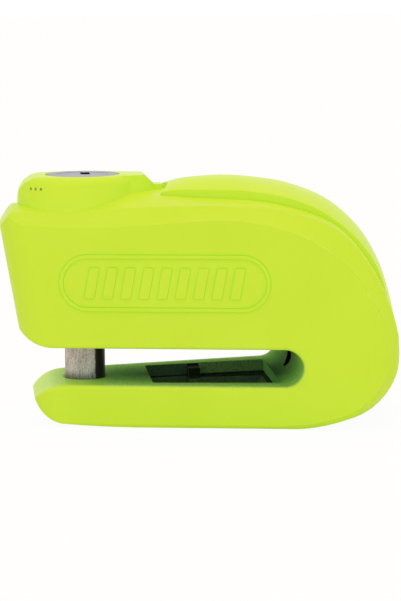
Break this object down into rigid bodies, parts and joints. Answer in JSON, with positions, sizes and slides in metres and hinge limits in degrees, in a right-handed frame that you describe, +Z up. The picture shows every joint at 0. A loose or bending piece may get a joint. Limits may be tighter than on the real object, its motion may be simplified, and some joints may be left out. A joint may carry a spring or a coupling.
{
  "type": "brake disc lock",
  "caption": "Wedge-shaped brake-disc lock: C-shaped body with a disc slot, a push-down steel bolt under a keyed cylinder in a raised collar, and a crowned spine cover over the alarm bay.",
  "frame": {"origin": "centre of the whole lock's footprint, on the flat base", "axes": "+X from the nose, where the bolt and the cylinder are, to the rounded back; +Y across the lock, from the side that faces the viewer to the other side; +Z up, along the bolt"},
  "size_m": [0.1086, 0.0614, 0.0674],
  "materials": {
    "neon_painted_metal": "cast and machined metal with glossy fluorescent yellow-green paint that has a fine orange peel",
    "neon_shell": "glossy fluorescent yellow-green moulding",
    "black_rubber": "matt black rubber",
    "plain_steel": "machined steel",
    "hardened_steel": "ground hardened steel with fine machining rings",
    "spring_steel": "dark drawn spring steel",
    "satin_chrome": "satin chrome with fine turned rings",
    "smoked_lens": "small smoked green light guides",
    "black_plastic": "fine-grained black plastic",
    "cell_wrap": "plain printed film without marks",
    "plated_contacts": "nickel-plated spring sheet",
    "board_laminate": "green solder mask over laminate",
    "chip_plastic": "moulded black component bodies",
    "brass_disc": "rolled brass sheet",
    "magnet": "nickel-plated magnet"
  },
  "bodies": {
    "lock_frame": {"lock_body": "neon_painted_metal", "spine_cover": "neon_shell", "spine_gasket": "black_rubber", "cover_screws": "plain_steel", "cap_collar": "neon_shell", "indicator_lenses": "smoked_lens", "wiper_ring": "black_rubber", "guide_sleeve": "plain_steel", "guide_pin": "hardened_steel", "catch_clip": "spring_steel", "lower_bolt_bush": "neon_painted_metal", "upper_bolt_bush": "hardened_steel", "bolt_spring": "spring_steel", "battery_tray": "black_plastic", "battery_cells": "cell_wrap", "battery_contacts": "plated_contacts", "battery_springs": "plated_contacts", "circuit_board": "board_laminate", "board_components": "chip_plastic", "tilt_sensor": "chip_plastic", "siren_cup": "black_plastic", "siren_diaphragm": "brass_disc", "siren_ring": "black_rubber", "state_sensor": "chip_plastic", "state_sensor_board": "board_laminate"},
    "bolt_carriage": {"cylinder_housing": "satin_chrome", "bolt_carrier": "plain_steel", "bolt": "hardened_steel", "bolt_cross_pin": "plain_steel", "state_magnet": "magnet", "plug_circlip": "spring_steel"},
    "key_plug_group": {"key_plug": "satin_chrome", "anti_drill_disc": "hardened_steel", "plug_tail": "plain_steel", "release_cam": "plain_steel", "sidebar": "plain_steel", "disc_spacers": "brass_disc"},
    "disc_pack": {"detainer_discs": "brass_disc"}
  },
  "joints": [
    {"name": "bolt_slide", "type": "slide", "parent": "lock_frame", "child": "bolt_carriage", "axis": [0, 0, 1], "range_m": [0, 0.0146], "deforming": ["bolt_spring", "catch_clip"]},
    {"name": "plug_turn", "type": "hinge", "parent": "bolt_carriage", "child": "key_plug_group", "pos_m": [-0.03156, 0, 0.06], "axis": [0, 0, 1], "range_deg": [0, 90]},
    {"name": "disc_turn", "type": "hinge", "parent": "key_plug_group", "child": "disc_pack", "pos_m": [-0.03156, 0, 0.056], "axis": [0, 0, 1], "range_deg": [0, 90]}
  ]
}
